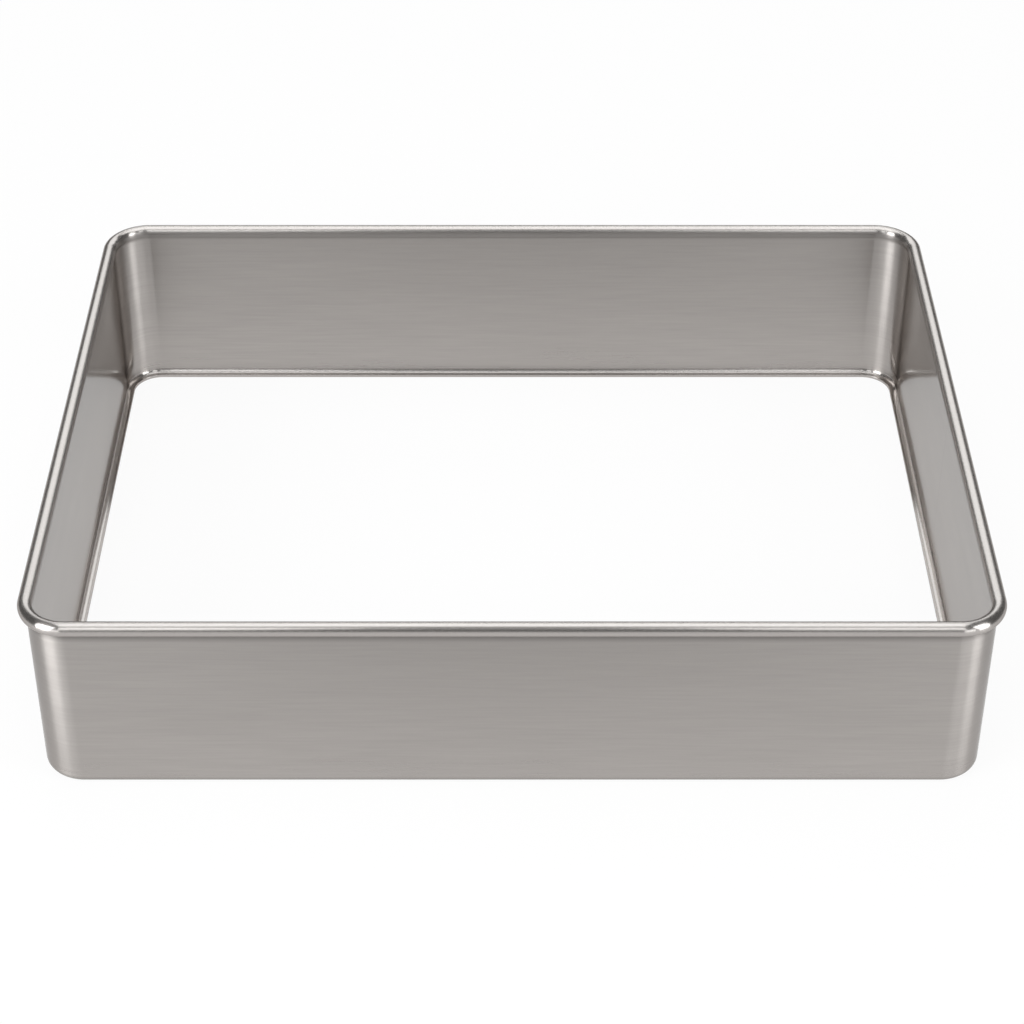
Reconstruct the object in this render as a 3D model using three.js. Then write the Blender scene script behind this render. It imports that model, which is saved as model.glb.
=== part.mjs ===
// A rectangular cake ring, which is a frame with no base that stands on a baking sheet.
// One strip of stainless sheet is bent round four corners and closed by a weld on a short side.
// Its top edge is rolled outwards over a wire, and its bottom edge is turned in as a narrow lip.
// Millimetres, +Z up. The origin is on the table in the middle of the ring, with +X along its length.

import * as THREE from "three";

// The ring, over the outside of its wall
const LENGTH = 276;
const WIDTH = 216;
const HEIGHT = 61;
const CORNER_RADIUS = 12.5;
const SHEET = 1;

// The rim that is rolled over the wire
const WIRE_DIAMETER = 2.3;
const WIRE_CLEARANCE = 0.05;
const RIM_JOG = 1.2; // how far the wall is set in under the wire, so that the rim sits over it
const JOG_RADIUS = 2.5; // inside radius of that bend
const RIM_SLIT = 0.3; // left open between the wall and the edge of the curl

// The lip that is turned in along the bottom
const LIP_REACH = 3.3; // from the outside of the wall to the lip's edge
const LIP_RADIUS = 1.8; // inside radius of its bend

// Where the ends of the strip and of the wire meet
const WELD_WIDTH = 1.2;
const WIRE_GAP = 0.6;

// Facets
const CORNER_FACETS = 12;
const BEND_FACET = Math.PI / 8;

const QUARTER = Math.PI / 2;
const HALF_SHEET = SHEET / 2;

// The middle of the sheet follows these radii round its bends
const LIP_BEND = LIP_RADIUS + HALF_SHEET;
const JOG_BEND = JOG_RADIUS + HALF_SHEET;
const CURL_BEND = WIRE_DIAMETER / 2 + WIRE_CLEARANCE + HALF_SHEET;

// Middle of the wire in the section, whose x is outward from the wall's outer face and y is up
const WIRE_X = CURL_BEND - HALF_SHEET - RIM_JOG;
const WIRE_Z = HEIGHT - HALF_SHEET - CURL_BEND;

const STEEL_COLOUR = 0xa9a5a0;
const WIRE_COLOUR = 0x8f8d8a;

/** Points on an arc, with facets no wider than BEND_FACET. */
function arcPoints(centre, radius, from, to) {
  const facets = Math.ceil(Math.abs(to - from) / BEND_FACET - 1e-9);
  const arc = new THREE.EllipseCurve(centre.x, centre.y, radius, radius, from, to, to < from);
  return arc.getPoints(facets);
}

/**
 * The outline of a bent strip. A line through the middle of the sheet starts at `start`, heading along x,
 * and each move runs straight or turns on a radius, to the left when its angle is positive.
 * The two faces lie half a sheet to either side of that line, and both edges are cut square.
 */
function stripOutline(start, moves) {
  const right = [];
  const left = [];
  const middle = start.clone();
  const aside = new THREE.Vector2(0, 1);
  const addFaces = () => {
    right.push(middle.clone().addScaledVector(aside, -HALF_SHEET));
    left.push(middle.clone().addScaledVector(aside, HALF_SHEET));
  };
  let heading = 0;
  addFaces();
  for (const { run, turn, radius } of moves) {
    if (run) {
      middle.x += run * Math.cos(heading);
      middle.y += run * Math.sin(heading);
      addFaces();
      continue;
    }
    const side = Math.sign(turn);
    const centre = middle.clone().addScaledVector(aside, side * radius);
    const from = heading - side * QUARTER;
    right.push(...arcPoints(centre, radius + side * HALF_SHEET, from, from + turn).slice(1));
    left.push(...arcPoints(centre, radius - side * HALF_SHEET, from, from + turn).slice(1));
    heading += turn;
    aside.set(-Math.sin(heading), Math.cos(heading));
    middle.copy(centre).addScaledVector(aside, -side * radius);
  }
  return new THREE.Shape([...right, ...left.reverse()]);
}

/** The section of the strip: lip, wall, jog under the rim, and curl over the wire and back under it. */
function bandSection() {
  const lipRun = LIP_REACH - SHEET - LIP_RADIUS;
  const bothBends = JOG_BEND + CURL_BEND;
  const jogTurn = Math.acos(1 - RIM_JOG / bothBends);
  const closeTurn = Math.acos((RIM_SLIT - WIRE_X) / CURL_BEND);
  const wallFoot = HALF_SHEET + LIP_BEND;
  const wallRun = WIRE_Z - bothBends * Math.sin(jogTurn) - wallFoot;
  const lipEdge = new THREE.Vector2(-LIP_REACH, HALF_SHEET);
  return stripOutline(lipEdge, [
    { run: lipRun },
    { turn: QUARTER, radius: LIP_BEND },
    { run: wallRun },
    { turn: jogTurn, radius: JOG_BEND },
    { turn: -jogTurn, radius: CURL_BEND },
    { turn: -2 * QUARTER, radius: CURL_BEND },
    { turn: -closeTurn, radius: CURL_BEND },
  ]);
}

/** The section of the wire, in the top of the curl. */
function wireSection() {
  const wire = new THREE.Shape();
  wire.absarc(WIRE_X, WIRE_Z, WIRE_DIAMETER / 2, 0, 4 * QUARTER);
  return wire;
}

/** A place on the wall's outer face: where it is, and which way is outward. */
function station(x, y, angle) {
  return { x, y, outX: Math.cos(angle), outY: Math.sin(angle) };
}

/**
 * Stations once round the ring, clockwise from above. They start and end on the middle of the +X side,
 * `gap` apart, and those that matter are the two ends of each straight and the facets of each corner.
 */
function ringStations(gap) {
  const stations = [station(LENGTH / 2, -gap / 2, 0)];
  const corners = [
    [1, -1],
    [-1, -1],
    [-1, 1],
    [1, 1],
  ];
  corners.forEach(([sideX, sideY], corner) => {
    const centreX = sideX * (LENGTH / 2 - CORNER_RADIUS);
    const centreY = sideY * (WIDTH / 2 - CORNER_RADIUS);
    for (let facet = 0; facet <= CORNER_FACETS; facet++) {
      const angle = -QUARTER * (corner + facet / CORNER_FACETS);
      const x = centreX + CORNER_RADIUS * Math.cos(angle);
      const y = centreY + CORNER_RADIUS * Math.sin(angle);
      stations.push(station(x, y, angle));
    }
  });
  stations.push(station(LENGTH / 2, gap / 2, 0));
  return stations;
}

/** The two stations either side of a short straight that fills the gap in the middle of the +X side. */
function gapStations(gap) {
  return [station(LENGTH / 2, gap / 2, 0), station(LENGTH / 2, -gap / 2, 0)];
}

/** A section carried along stations: extruded one layer to a station, then each layer is set in place. */
function sweep(section, stations) {
  const layers = stations.length - 1;
  const curveSegments = Math.PI / BEND_FACET;
  const swept = new THREE.ExtrudeGeometry(section, {
    depth: layers,
    steps: layers,
    curveSegments,
    bevelEnabled: false,
  });
  const points = swept.getAttribute("position");
  for (let i = 0; i < points.count; i++) {
    const at = stations[Math.round(points.getZ(i))];
    const outward = points.getX(i);
    const up = points.getY(i);
    points.setXYZ(i, at.x + outward * at.outX, at.y + outward * at.outY, up);
  }
  swept.computeVertexNormals();
  return swept;
}

/** A named piece of steel. */
function steelPiece(name, geometry, color, roughness) {
  const material = new THREE.MeshStandardMaterial({ color, roughness, metalness: 1 });
  const piece = new THREE.Mesh(geometry, material);
  piece.name = name;
  return piece;
}

const section = bandSection();
const steelBand = steelPiece("steel_band", sweep(section, ringStations(WELD_WIDTH)), STEEL_COLOUR, 0.32);
const seamWeld = steelPiece("seam_weld", sweep(section, gapStations(WELD_WIDTH)), STEEL_COLOUR, 0.36);

// The ends of the wire meet on the side opposite the weld
const rimWire = steelPiece("rim_wire", sweep(wireSection(), ringStations(WIRE_GAP)), WIRE_COLOUR, 0.45);
rimWire.rotation.z = Math.PI;

const cakeRing = new THREE.Group();
cakeRing.name = "cake_ring";
cakeRing.add(steelBand, seamWeld, rimWire);

export default cakeRing;
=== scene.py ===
"""A rectangular cake ring of brushed stainless steel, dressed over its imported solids.

Metres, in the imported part's frame: +X along the ring, +Y from the front wall to the back wall, +Z up,
with the origin on the table in the middle of the ring.
"""

import math

import bpy
import numpy as np
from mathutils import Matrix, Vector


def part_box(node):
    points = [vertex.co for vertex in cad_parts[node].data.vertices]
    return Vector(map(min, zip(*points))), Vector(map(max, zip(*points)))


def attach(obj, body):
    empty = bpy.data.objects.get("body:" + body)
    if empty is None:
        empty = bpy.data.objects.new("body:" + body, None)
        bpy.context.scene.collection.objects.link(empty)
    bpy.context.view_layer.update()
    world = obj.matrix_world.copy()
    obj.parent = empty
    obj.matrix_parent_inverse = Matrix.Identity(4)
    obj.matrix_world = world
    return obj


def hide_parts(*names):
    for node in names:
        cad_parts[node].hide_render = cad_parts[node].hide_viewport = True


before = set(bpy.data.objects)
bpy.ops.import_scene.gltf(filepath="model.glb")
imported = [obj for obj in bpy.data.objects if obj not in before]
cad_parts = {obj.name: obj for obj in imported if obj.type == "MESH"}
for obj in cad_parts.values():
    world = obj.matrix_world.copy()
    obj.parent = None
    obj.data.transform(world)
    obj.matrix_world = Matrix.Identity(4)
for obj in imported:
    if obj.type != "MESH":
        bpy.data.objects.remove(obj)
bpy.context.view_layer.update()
_, band_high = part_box("steel_band")
weld_low, weld_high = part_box("seam_weld")
wire_low, wire_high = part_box("rim_wire")

QUARTER = math.pi / 2

# The strip and its bends
SHEET = 0.001
EDGE_ROUNDING = 0.00015  # on both corners of a cut edge
WIRE_CLEARANCE = 0.00005
RIM_JOG = 0.0012  # how far the wall is set in under the wire
JOG_RADIUS = 0.0025  # inside radius of that bend
RIM_SLIT = 0.0003  # left open between the wall and the edge of the curl
LIP_REACH = 0.0033  # from the outside of the wall to the lip's edge
LIP_RADIUS = 0.0018  # inside radius of its bend
CORNER_RADIUS = 0.0125
WIRE_GAP = 0.0006  # between the ends of the wire

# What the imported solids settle
WIRE_RADIUS = (wire_high.z - wire_low.z) / 2
WELD_WIDTH = weld_high.y - weld_low.y
HEIGHT = band_high.z
HALF_SHEET = SHEET / 2
LIP_BEND = LIP_RADIUS + HALF_SHEET
JOG_BEND = JOG_RADIUS + HALF_SHEET
CURL_BEND = WIRE_RADIUS + WIRE_CLEARANCE + HALF_SHEET
WIRE_OUT = CURL_BEND - HALF_SHEET - RIM_JOG
WIRE_UP = HEIGHT - HALF_SHEET - CURL_BEND
RIM_OVERHANG = WIRE_OUT + CURL_BEND + HALF_SHEET
HALF_LENGTH = band_high.x - RIM_OVERHANG
HALF_WIDTH = band_high.y - RIM_OVERHANG

# Fineness of the surfaces
BEND_STEP = math.radians(6)
EDGE_STEPS = 4
CORNER_STEPS = 40
WIRE_SIDES = 24
SHARP_ANGLE = math.radians(40)

# What the meshes carry for their finish, their painted highlight and their painted shade
STRIP_UV = "strip"
POLISH_AND_HIGHLIGHT = "polish_and_highlight"
PAINTED_SHADE = "painted_shade"
NECK = 0.0018  # the stretch of wall under the jog over which the painted shade sets in
FADE_TURN = QUARTER / 2  # the turn of a bend over which each share of polish with painted highlight and of painted shade sets in

# Colours
STEEL = (0.408, 0.381, 0.362, 1)
# Polished rim, lip and cut edges, painted a little lighter than the brushed steel as a highlight
POLISHED_HIGHLIGHT = (0.425, 0.399, 0.380, 1)
WELD = (0.400, 0.374, 0.355, 1)
WIRE = (0.30, 0.29, 0.28, 1)
GRAZING_TINT = (0.33, 0.30, 0.28, 1)
PAPER = (0.81, 0.80, 0.795, 1)
WHITE = (1, 1, 1, 1)
# How dark the painted shade under the rim and round the foot is, as a share of the tint
PAINTED_SHADE_LEVEL = 0.66

# Brushing: a streak's length and width, and how much lighter and darker the streaks are
FINE_GRAIN = (0.022, 0.0008)
BROAD_GRAIN = (0.060, 0.0080)
WIRE_GRAIN = (0.020, 0.0002)
BROAD_SHARE = 0.5
GRAIN_DETAIL = 2
GRAIN_FALLOFF = 0.6
STEEL_CONTRAST = 0.105
STEEL_SPREAD = (0.25, 0.75)
WIRE_CONTRAST = 0.1
WIRE_SPREAD = (0, 1)

# Gloss: roughness at the foot, at the top of the wall and on what is polished
BAND_ROUGHNESS = (0.27, 0.426, 0.235)
WELD_ROUGHNESS = (0.287, 0.444, 0.252)
WIRE_ROUGHNESS = 0.45
UNEVEN_SPREAD = (0.2, 0.8)
UNEVEN_ROUGHNESS = (0.85, 1.15)
ANISOTROPY = 0.95
GLOSS_ROTATION = 0.25  # of a turn from the strip's length, so that gloss spreads across the brushing
COAT = 0.7
COAT_ROUGHNESS = 0.12

# Softboxes: name, azimuth, elevation, distance, width, height, brightness
SOFTBOXES = (
    ("overhead", 180, 80, 1.2, 0.85, 1.1, 2.2),
    ("behind", 180, 38, 1.2, 1.2, 0.42, 1.8),
    ("over_camera", 0, 50, 1.25, 1.0, 0.55, 0.4),
    ("over_left", -18, 42, 1.25, 0.28, 0.6, 2.2),
    ("over_right", 18, 42, 1.25, 0.28, 0.6, 1.9),
    ("left_front", -30, 10, 1.2, 0.40, 0.45, 2.0),
    ("left", -52, 24, 1.2, 0.55, 1.0, 7.2),
    ("right_front", 30, 10, 1.2, 0.40, 0.45, 2.6),
    ("right", 57, 24, 1.2, 0.45, 1.0, 5.4),
)
LAMP_COLOUR = (0.98, 1.0, 1.01)
SURROUND = (0.16, 0.16, 0.16, 1)
FLOOR_HALF = 3.0
FLOOR_WHITE = 1.0
FLOOR_GLOW = 0.92  # the share of white glow in the paper that is seen

# Camera, in metres, degrees and millimetres of lens
CAMERA_PLACE = (0, -0.6576, 0.5151)
CAMERA_PITCH = 37.07
CAMERA_LENS = 89.72
CAMERA_SENSOR = 36


def arc(centre, radius, start, turn, steps):
    """Points on an arc after its first: centre plus radius times (cos, sin) of evenly spaced angles."""
    angle = start + turn * np.arange(1, steps + 1) / steps
    return centre + radius * np.stack([np.cos(angle), np.sin(angle)], 1)


def middle_line(start, moves):
    """The middle of a bent sheet: points, leftward normals, developed lengths, and the length at each move.

    The line heads along +x from start. A run goes straight on, and a turn follows an arc of its radius,
    to the left for a positive angle, so the normal turns with it and the length grows by radius times angle.
    """
    points = [np.array([start])]
    headings = [np.zeros(1)]
    lengths = [np.zeros(1)]
    marks = []
    for run, turn, radius in moves:
        at = points[-1][-1]
        heading = headings[-1][-1]
        length = lengths[-1][-1]
        marks.append(length)
        left = np.array([-math.sin(heading), math.cos(heading)])
        if run:
            points.append((at + run * np.array([math.cos(heading), math.sin(heading)]))[None])
            headings.append(np.array([heading]))
            lengths.append(np.array([length + run]))
            continue
        side = math.copysign(1, turn)
        steps = math.ceil(abs(turn) / BEND_STEP)
        share = np.arange(1, steps + 1) / steps
        points.append(arc(at + side * radius * left, radius, heading - side * QUARTER, turn, steps))
        headings.append(heading + turn * share)
        lengths.append(length + abs(turn) * radius * share)
    heading = np.concatenate(headings)
    normals = np.stack([-np.sin(heading), np.cos(heading)], 1)
    return np.concatenate(points), normals, np.concatenate(lengths), marks


def cut_edge(at, heading):
    """A square edge of the sheet, from its right face to its left, with a quarter circle at either corner."""
    ahead = np.array([math.cos(heading), math.sin(heading)])
    left = np.array([-ahead[1], ahead[0]])
    aside = HALF_SHEET - EDGE_ROUNDING
    first = arc(at - aside * left, EDGE_ROUNDING, heading - QUARTER, QUARTER, EDGE_STEPS)
    second = arc(at + aside * left, EDGE_ROUNDING, heading, QUARTER, EDGE_STEPS)
    return np.concatenate([first, second[:-1]])


def strip_section():
    """The bent strip's closed outline, its shares of polish with painted highlight and of painted shade, and
    its points per face and edge.

    The middle line runs from the lip's edge up the wall, jogs inwards and goes round the wire, back under it.
    The outer and inner faces lie half a sheet to either side of it.
    Each share changes evenly along that line. Polish, with its painted highlight, rises from 0 to 1 round the
    curl and, on the inner face, down round the lip's bend. Painted shade rises up the neck under the rim and
    down round the lip's bend on the outer face, and up the jog on the inner face. Both are 1 on the cut
    edges.
    """
    both_bends = JOG_BEND + CURL_BEND
    jog_turn = math.acos(1 - RIM_JOG / both_bends)
    close_turn = math.acos((RIM_SLIT - WIRE_OUT) / CURL_BEND) - EDGE_ROUNDING / CURL_BEND
    wall_run = WIRE_UP - both_bends * math.sin(jog_turn) - HALF_SHEET - LIP_BEND
    points, normals, lengths, marks = middle_line(
        (EDGE_ROUNDING - LIP_REACH, HALF_SHEET),
        [
            (LIP_REACH - SHEET - LIP_RADIUS - EDGE_ROUNDING, 0, 0),
            (0, QUARTER, LIP_BEND),
            (wall_run - NECK, 0, 0),
            (NECK, 0, 0),
            (0, jog_turn, JOG_BEND),
            (0, -jog_turn - 2 * QUARTER - close_turn, CURL_BEND),
        ],
    )
    outer = points - HALF_SHEET * normals
    inner = points + HALF_SHEET * normals
    far_edge = cut_edge(points[-1], -QUARTER - close_turn)
    near_edge = cut_edge(points[0], 2 * QUARTER)
    outline = np.concatenate([outer, far_edge, inner[::-1], near_edge])
    wall_start, neck_start, jog_start, curl_start = marks[2:]
    lip = np.clip((wall_start - lengths) / LIP_BEND / FADE_TURN, 0, 1)
    neck = np.clip((lengths - neck_start) / NECK, 0, 1)
    jog = np.clip((lengths - jog_start) / (curl_start - jog_start), 0, 1)
    rim = np.clip(((lengths - curl_start) / CURL_BEND - jog_turn) / FADE_TURN, 0, 1)
    far = np.ones(len(far_edge))
    near = np.ones(len(near_edge))
    # Shares of polish with its painted highlight, and of painted shade
    finish = {
        POLISH_AND_HIGHLIGHT: np.concatenate([rim, far, np.maximum(rim, lip)[::-1], near]),
        PAINTED_SHADE: np.concatenate([np.maximum(neck, lip), far, jog[::-1], near]),
    }
    return outline, finish, len(points), len(far_edge)


def strip_caps(per_face, per_edge):
    """What closes an end of the strip: quads between its two faces, and a fan in each rounded edge."""
    outer = np.arange(per_face)
    inner = 2 * per_face + per_edge - 1 - outer
    quads = np.stack([outer[:-1], outer[1:], inner[1:], inner[:-1]], 1)
    far_fan = np.arange(per_face - 1, per_face + per_edge + 1)
    near_fan = np.concatenate([np.arange(2 * per_face + per_edge - 1, 2 * per_face + 2 * per_edge), [0]])
    return [*quads, far_fan, near_fan]


def wire_section():
    """The wire's outline: its middle plus its radius times (cos, sin) of evenly spaced angles."""
    middle = np.array([WIRE_OUT, WIRE_UP])
    return arc(middle, WIRE_RADIUS, 0, 2 * math.pi, WIRE_SIDES)


def ring_path(gap):
    """Stations once round the wall's outer face, clockwise from above: places, outward normals and lengths.

    Four quarter circles of the corner radius are joined by straights, and the path starts and ends on the
    middle of the +X side with the gap between its ends.
    """
    sides = np.array([[1, -1], [-1, -1], [-1, 1], [1, 1]])
    centres = sides * [HALF_LENGTH - CORNER_RADIUS, HALF_WIDTH - CORNER_RADIUS]
    angles = -QUARTER * (np.arange(len(sides))[:, None] + np.linspace(0, 1, CORNER_STEPS + 1))
    outward = np.stack([np.cos(angles), np.sin(angles)], 2)
    corners = (centres[:, None] + CORNER_RADIUS * outward).reshape(-1, 2)
    along_x = np.array([[1.0, 0.0]])
    start = np.array([[HALF_LENGTH, -gap / 2]])
    places = np.concatenate([start, corners, start * [1, -1]])
    normals = np.concatenate([along_x, outward.reshape(-1, 2), along_x])
    steps = np.linalg.norm(np.diff(places, axis=0), axis=1)
    return places, normals, np.concatenate([[0], np.cumsum(steps)])


def gap_path(gap):
    """The two stations either side of the gap in the middle of the +X side: places, normals and lengths."""
    places = np.array([[HALF_LENGTH, gap / 2], [HALF_LENGTH, -gap / 2]])
    return places, np.array([[1.0, 0.0], [1.0, 0.0]]), np.array([0, gap])


def swept_piece(name, outline, path, cap_faces, finish):
    """A closed outline carried along a path, with both ends capped.

    A point of the outline at (out, up) on a station lies at the station's place plus out times its outward
    normal, at the height up. The UV map holds the length along the path and the length round the outline,
    and each share of polish, painted highlight and painted shade is the same at every station.
    """
    places, normals, lengths = path
    stations = len(places)
    count = len(outline)
    ground = places[:, None] + outline[None, :, :1] * normals[:, None]
    heights = np.broadcast_to(outline[None, :, 1:], (stations, count, 1))
    vertices = np.concatenate([ground, heights], 2).reshape(-1, 3)
    station, point = np.meshgrid(np.arange(stations - 1), np.arange(count), indexing="ij")
    corner_station = np.stack([station, station, station + 1, station + 1], 2)
    corner_point = np.stack([point, point + 1, point + 1, point], 2)
    sides = (corner_station * count + corner_point % count).reshape(-1, 4)
    round_outline = np.linalg.norm(np.diff(outline, axis=0, append=outline[:1]), axis=1)
    across = np.concatenate([[0], np.cumsum(round_outline)])
    side_uv = np.stack([lengths[corner_station], across[corner_point]], 3).reshape(-1, 2)
    last = (stations - 1) * count
    caps = [face[::-1] for face in cap_faces] + [last + face for face in cap_faces]
    cap_points = np.concatenate(caps)
    cap_uv = np.stack([lengths[cap_points // count], across[cap_points % count]], 1)
    mesh = bpy.data.meshes.new(name)
    mesh.from_pydata(vertices, [], sides.tolist() + [cap.tolist() for cap in caps])
    uv = mesh.uv_layers.new(name=STRIP_UV)
    uv.data.foreach_set("uv", np.concatenate([side_uv, cap_uv]).astype(np.float32).ravel())
    mesh.polygons.foreach_set("use_smooth", np.ones(len(mesh.polygons), bool))
    mesh.set_sharp_from_angle(angle=SHARP_ANGLE)
    for attribute, shares in finish.items():
        layer = mesh.attributes.new(attribute, "FLOAT", "POINT")
        layer.data.foreach_set("value", np.tile(shares, stations).astype(np.float32))
    mesh.validate()
    piece = bpy.data.objects.new(name, mesh)
    bpy.context.scene.collection.objects.link(piece)
    return piece


def shade(colour, factor):
    """A colour made darker or lighter by a factor."""
    return [channel * factor for channel in colour[:3]] + [1]


class Nodes:
    """A material's node tree, with short calls that add a node and give its output."""

    def __init__(self, name):
        self.material = bpy.data.materials.new(name)
        self.material.use_nodes = True
        self.tree = self.material.node_tree
        self.tree.nodes.clear()

    def add(self, kind, inputs=None, **settings):
        """A new node. An input that is another node's output is linked, and any other is set."""
        node = self.tree.nodes.new(kind)
        for setting, value in settings.items():
            setattr(node, setting, value)
        for socket, value in (inputs or {}).items():
            if isinstance(value, bpy.types.NodeSocket):
                self.tree.links.new(value, node.inputs[socket])
            else:
                node.inputs[socket].default_value = value
        return node

    def attribute(self, name):
        """A share that the mesh carries at its points."""
        return self.add("ShaderNodeAttribute", attribute_name=name).outputs["Fac"]

    def calculate(self, operation, first, second):
        """Two numbers brought together by an operation."""
        return self.add("ShaderNodeMath", {0: first, 1: second}, operation=operation).outputs[0]

    def mix_numbers(self, share, first, second):
        """Between two numbers, by a share."""
        inputs = {"Factor": share, "A": first, "B": second}
        return self.add("ShaderNodeMix", inputs, data_type="FLOAT").outputs["Result"]

    def mix_colours(self, share, first, second):
        """Between two colours, by a share. The node's colours are its inputs 6 and 7 and its output 2."""
        return self.add("ShaderNodeMix", {"Factor": share, 6: first, 7: second}, data_type="RGBA").outputs[2]

    def map_range(self, value, given, wanted):
        """A number brought from a given range into a wanted one."""
        inputs = {
            "Value": value,
            "From Min": given[0],
            "From Max": given[1],
            "To Min": wanted[0],
            "To Max": wanted[1],
        }
        return self.add("ShaderNodeMapRange", inputs).outputs["Result"]

    def finish(self, shader):
        """The material, with a shader on its surface."""
        output = self.tree.nodes.new("ShaderNodeOutputMaterial")
        self.tree.links.new(shader.outputs[0], output.inputs["Surface"])
        return self.material


def grain(nodes, strip, size):
    """Noise drawn out along the strip, so that a streak has about the length and width of size."""
    length, width = size
    stretched = nodes.add("ShaderNodeMapping", {"Vector": strip, "Scale": (1 / length, 1 / width, 1)})
    noise = nodes.add(
        "ShaderNodeTexNoise",
        {"Vector": stretched.outputs[0], "Scale": 1, "Detail": GRAIN_DETAIL, "Roughness": GRAIN_FALLOFF},
    )
    return noise.outputs["Fac"]


def streaked_colour(nodes, streaks, tint, contrast, spread):
    """A tint that goes from darker to lighter by the contrast as the streaks cross the spread."""
    ramp = nodes.add("ShaderNodeValToRGB", {"Fac": streaks})
    low, high = ramp.color_ramp.elements
    low.position, high.position = spread
    low.color = shade(tint, 1 - contrast)
    high.color = shade(tint, 1 + contrast)
    return ramp.outputs["Color"]


def brushed_steel(name, tint, roughness):
    """Stainless sheet brushed along its length, smoother towards its foot, with a polished rim and lip
    painted lighter as a highlight.

    It has painted shade at the neck under the rim and round the foot: its colour is darker there.
    """
    foot, top, polished = roughness
    nodes = Nodes(name)
    strip = nodes.add("ShaderNodeUVMap", uv_map=STRIP_UV).outputs[0]
    fine = grain(nodes, strip, FINE_GRAIN)
    broad = grain(nodes, strip, BROAD_GRAIN)
    streaks = nodes.mix_numbers(BROAD_SHARE, fine, broad)
    polish_and_highlight = nodes.attribute(POLISH_AND_HIGHLIGHT)
    brushed = streaked_colour(nodes, streaks, tint, STEEL_CONTRAST, STEEL_SPREAD)
    # Painted shade: the colour is darker at the neck under the rim, up the jog inside and round the foot
    with_painted_shade = nodes.mix_colours(nodes.attribute(PAINTED_SHADE), brushed, shade(tint, PAINTED_SHADE_LEVEL))
    # Painted highlight: where it is polished the colour is lighter, as well as the gloss smoother
    colour = nodes.mix_colours(polish_and_highlight, with_painted_shade, POLISHED_HIGHLIGHT)
    place = nodes.add("ShaderNodeTexCoord").outputs["Object"]
    up = nodes.add("ShaderNodeSeparateXYZ", {0: place}).outputs["Z"]
    wall = nodes.map_range(up, (0, HEIGHT), (foot, top))
    even = nodes.mix_numbers(polish_and_highlight, wall, polished)
    uneven = nodes.map_range(streaks, UNEVEN_SPREAD, UNEVEN_ROUGHNESS)
    tangent = nodes.add("ShaderNodeTangent", direction_type="UV_MAP", uv_map=STRIP_UV)
    steel = nodes.add(
        "ShaderNodeBsdfPrincipled",
        {
            "Base Color": colour,
            "Metallic": 1,
            "Roughness": nodes.calculate("MULTIPLY", even, uneven),
            "Specular Tint": GRAZING_TINT,
            "Coat Weight": COAT,
            "Coat Roughness": COAT_ROUGHNESS,
            "Anisotropic": ANISOTROPY,
            "Anisotropic Rotation": GLOSS_ROTATION,
            "Tangent": tangent.outputs[0],
        },
    )
    return nodes.finish(steel)


def drawn_wire():
    """Dull drawn wire, faintly streaked along its length."""
    nodes = Nodes("drawn_wire_steel")
    strip = nodes.add("ShaderNodeUVMap", uv_map=STRIP_UV).outputs[0]
    streaks = grain(nodes, strip, WIRE_GRAIN)
    colour = streaked_colour(nodes, streaks, WIRE, WIRE_CONTRAST, WIRE_SPREAD)
    steel = nodes.add(
        "ShaderNodeBsdfPrincipled",
        {"Base Color": colour, "Metallic": 1, "Roughness": WIRE_ROUGHNESS},
    )
    return nodes.finish(steel)


def floor_paper():
    """White paper that glows white for the eye and in the steel, and still takes a faint shadow."""
    nodes = Nodes("floor_paper")
    rays = nodes.add("ShaderNodeLightPath").outputs
    seen = nodes.calculate("MAXIMUM", rays["Is Camera Ray"], rays["Is Glossy Ray"])
    seen = nodes.calculate("MAXIMUM", seen, rays["Is Transmission Ray"])
    glow = nodes.calculate("MULTIPLY", seen, FLOOR_GLOW)
    paper = nodes.add("ShaderNodeBsdfDiffuse", {"Color": PAPER})
    white = nodes.add("ShaderNodeEmission", {"Color": WHITE, "Strength": FLOOR_WHITE})
    mixed = nodes.add("ShaderNodeMixShader", {0: glow, 1: paper.outputs[0], 2: white.outputs[0]})
    return nodes.finish(mixed)


def add_floor():
    """A flat sheet of white paper under the ring."""
    corners = FLOOR_HALF * np.array([[-1, -1, 0], [1, -1, 0], [1, 1, 0], [-1, 1, 0]])
    mesh = bpy.data.meshes.new("floor")
    mesh.from_pydata(corners, [], [(0, 1, 2, 3)])
    mesh.materials.append(floor_paper())
    floor = bpy.data.objects.new("floor", mesh)
    bpy.context.scene.collection.objects.link(floor)


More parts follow.
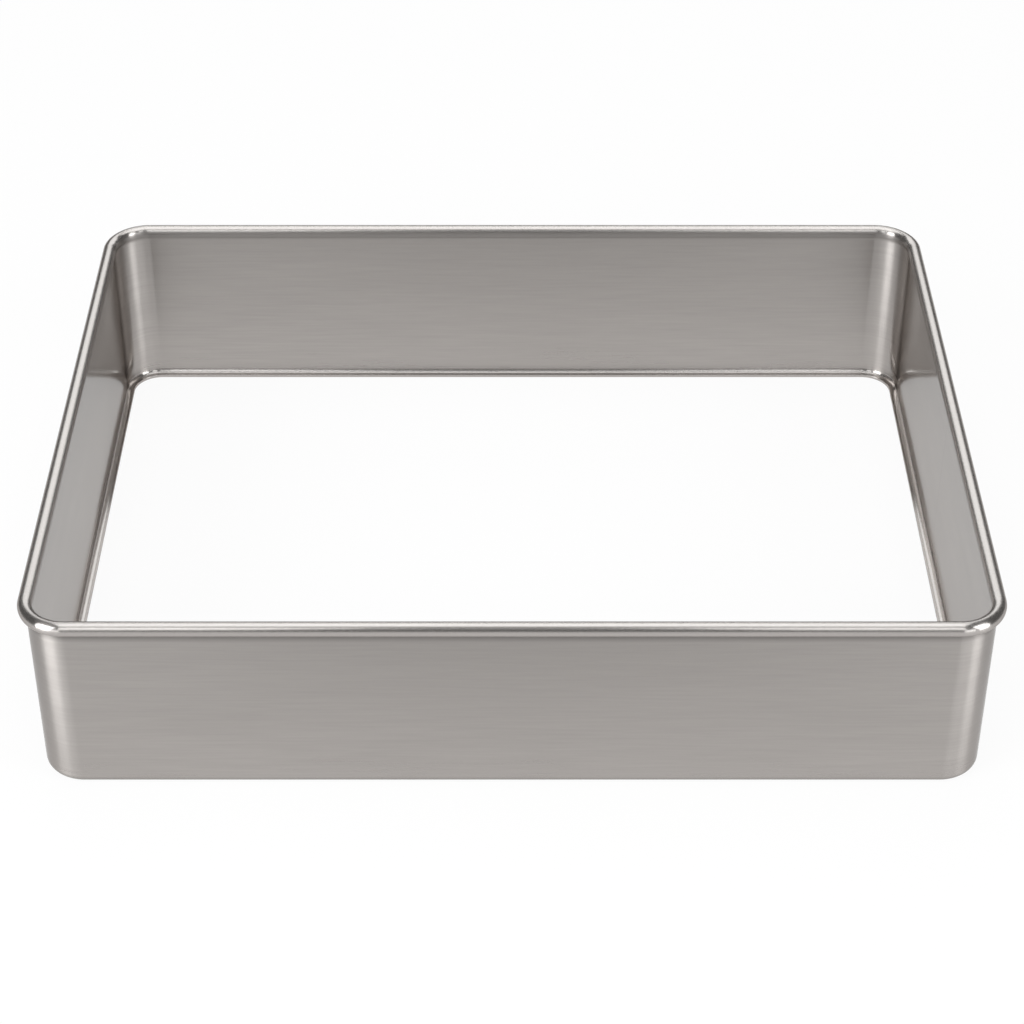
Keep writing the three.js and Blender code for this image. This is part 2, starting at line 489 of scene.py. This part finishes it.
def add_softbox(name, azimuth, elevation, distance, width, height, brightness):
    """A rectangular lamp that faces the middle of the ring. Its power is pi times its area and brightness.

    Azimuth is degrees round from the camera's side to the right, and elevation is degrees up.
    """
    turn = math.radians(azimuth)
    tilt = math.radians(elevation)
    lamp = bpy.data.lights.new(name, "AREA")
    lamp.shape = "RECTANGLE"
    lamp.color = LAMP_COLOUR
    lamp.size = width
    lamp.size_y = height
    lamp.energy = brightness * math.pi * width * height
    box = bpy.data.objects.new(name, lamp)
    level = distance * math.cos(tilt)
    box.location = (level * math.sin(turn), -level * math.cos(turn), distance * math.sin(tilt))
    box.rotation_euler = (QUARTER - tilt, 0, turn)
    box.visible_camera = False
    bpy.context.scene.collection.objects.link(box)


def add_light():
    """Softboxes round the ring, and an even grey surround."""
    for softbox in SOFTBOXES:
        add_softbox(*softbox)
    world = bpy.data.worlds.new("surround")
    world.use_nodes = True
    world.node_tree.nodes["Background"].inputs["Color"].default_value = SURROUND
    bpy.context.scene.world = world


def add_camera():
    """The photograph's view: from above the front, looking along +Y and down."""
    lens = bpy.data.cameras.new("camera")
    lens.lens = CAMERA_LENS
    lens.sensor_width = CAMERA_SENSOR
    camera = bpy.data.objects.new("camera", lens)
    camera.location = CAMERA_PLACE
    camera.rotation_euler = (QUARTER - math.radians(CAMERA_PITCH), 0, 0)
    bpy.context.scene.collection.objects.link(camera)
    bpy.context.scene.camera = camera


def dress(piece, material, node):
    """Gives a piece its finish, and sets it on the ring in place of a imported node."""
    piece.data.materials.append(material)
    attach(piece, "root")
    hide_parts(node)


def build_ring():
    """The three pieces of the ring: the bent strip, the weld that closes it and the wire in its rim."""
    outline, finish, per_face, per_edge = strip_section()
    caps = strip_caps(per_face, per_edge)
    band = swept_piece("brushed_band", outline, ring_path(WELD_WIDTH), caps, finish)
    band_steel = brushed_steel("brushed_band_steel", STEEL, BAND_ROUGHNESS)
    dress(band, band_steel, "steel_band")
    weld = swept_piece("ground_weld", outline, gap_path(WELD_WIDTH), caps, finish)
    weld_steel = brushed_steel("ground_weld_steel", WELD, WELD_ROUGHNESS)
    dress(weld, weld_steel, "seam_weld")
    places, normals, lengths = ring_path(WIRE_GAP)
    turned = (-places, -normals, lengths)
    wire = swept_piece("drawn_wire", wire_section(), turned, [np.arange(WIRE_SIDES)], {})
    dress(wire, drawn_wire(), "rim_wire")


add_camera()
build_ring()
add_floor()
add_light()
bpy.context.scene.view_settings.view_transform = "Standard"
